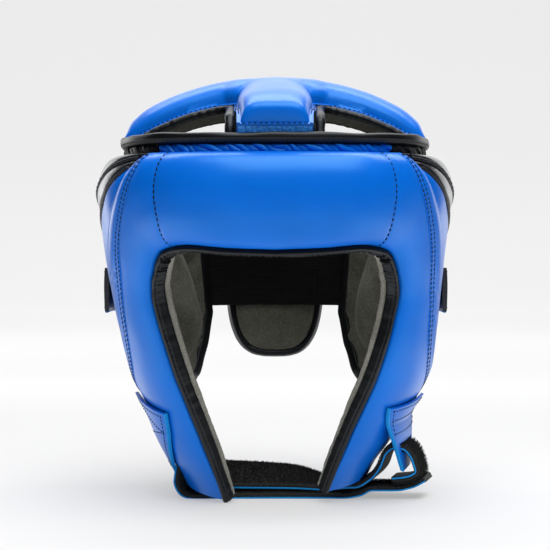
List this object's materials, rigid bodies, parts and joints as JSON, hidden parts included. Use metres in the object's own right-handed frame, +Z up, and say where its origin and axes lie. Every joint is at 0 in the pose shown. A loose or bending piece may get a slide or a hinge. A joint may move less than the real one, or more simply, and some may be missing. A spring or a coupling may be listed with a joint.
{
  "type": "kickboxing headgear",
  "caption": "Open-face padded sports headgear with brow, cheek and ear pads, a cross-shaped crown, rear elastic with a padded closure flap, and a chin strap that loops through a slotted tab.",
  "frame": {"origin": "on the floor, under the middle of the headgear's box", "axes": "+Z up, -Y the way the face opening looks, +X to the right as seen from the front"},
  "size_m": [0.2084, 0.2482, 0.2467],
  "materials": {
    "blue_leather": "smooth satin-gloss blue synthetic leather over foam",
    "black_leather": "smooth satin-gloss black synthetic leather",
    "black_binding": "soft black synthetic leather, folded and sewn as a rolled edge",
    "suede_lining": "matt warm grey suede",
    "black_elastic": "wide ribbed black elastic",
    "strap_pile": "black hook-and-loop pile on a leather strap"
  },
  "bodies": {
    "root": {"chin_strap_lower": "strap_pile", "chin_strap_upper": "strap_pile", "chin_tab_left": "blue_leather", "chin_tab_right": "blue_leather", "closure_strap_left": "black_leather", "closure_strap_right": "black_leather", "crown_binding_front_left": "black_binding", "crown_binding_front_right": "black_binding", "crown_binding_rear_left": "black_binding", "crown_binding_rear_right": "black_binding", "crown_lining": "suede_lining", "crown_pad": "blue_leather", "crown_tab_front": "blue_leather", "crown_tab_rear": "blue_leather", "edge_binding_left": "black_binding", "edge_binding_right": "black_binding", "face_binding": "black_binding", "front_lining": "suede_lining", "front_pad": "blue_leather", "gathers_front": "blue_leather", "gathers_left": "black_leather", "gathers_right": "black_leather", "rear_binding": "black_binding", "rear_elastic": "black_elastic", "rear_lining": "suede_lining", "rear_pad": "blue_leather", "side_cap_left": "black_leather", "side_cap_right": "black_leather", "side_lining_left": "suede_lining", "side_lining_right": "suede_lining", "side_panel_left": "blue_leather", "side_panel_right": "blue_leather", "side_stripe_left": "black_leather", "side_stripe_right": "black_leather", "top_binding": "black_binding"}
  },
  "joints": []
}
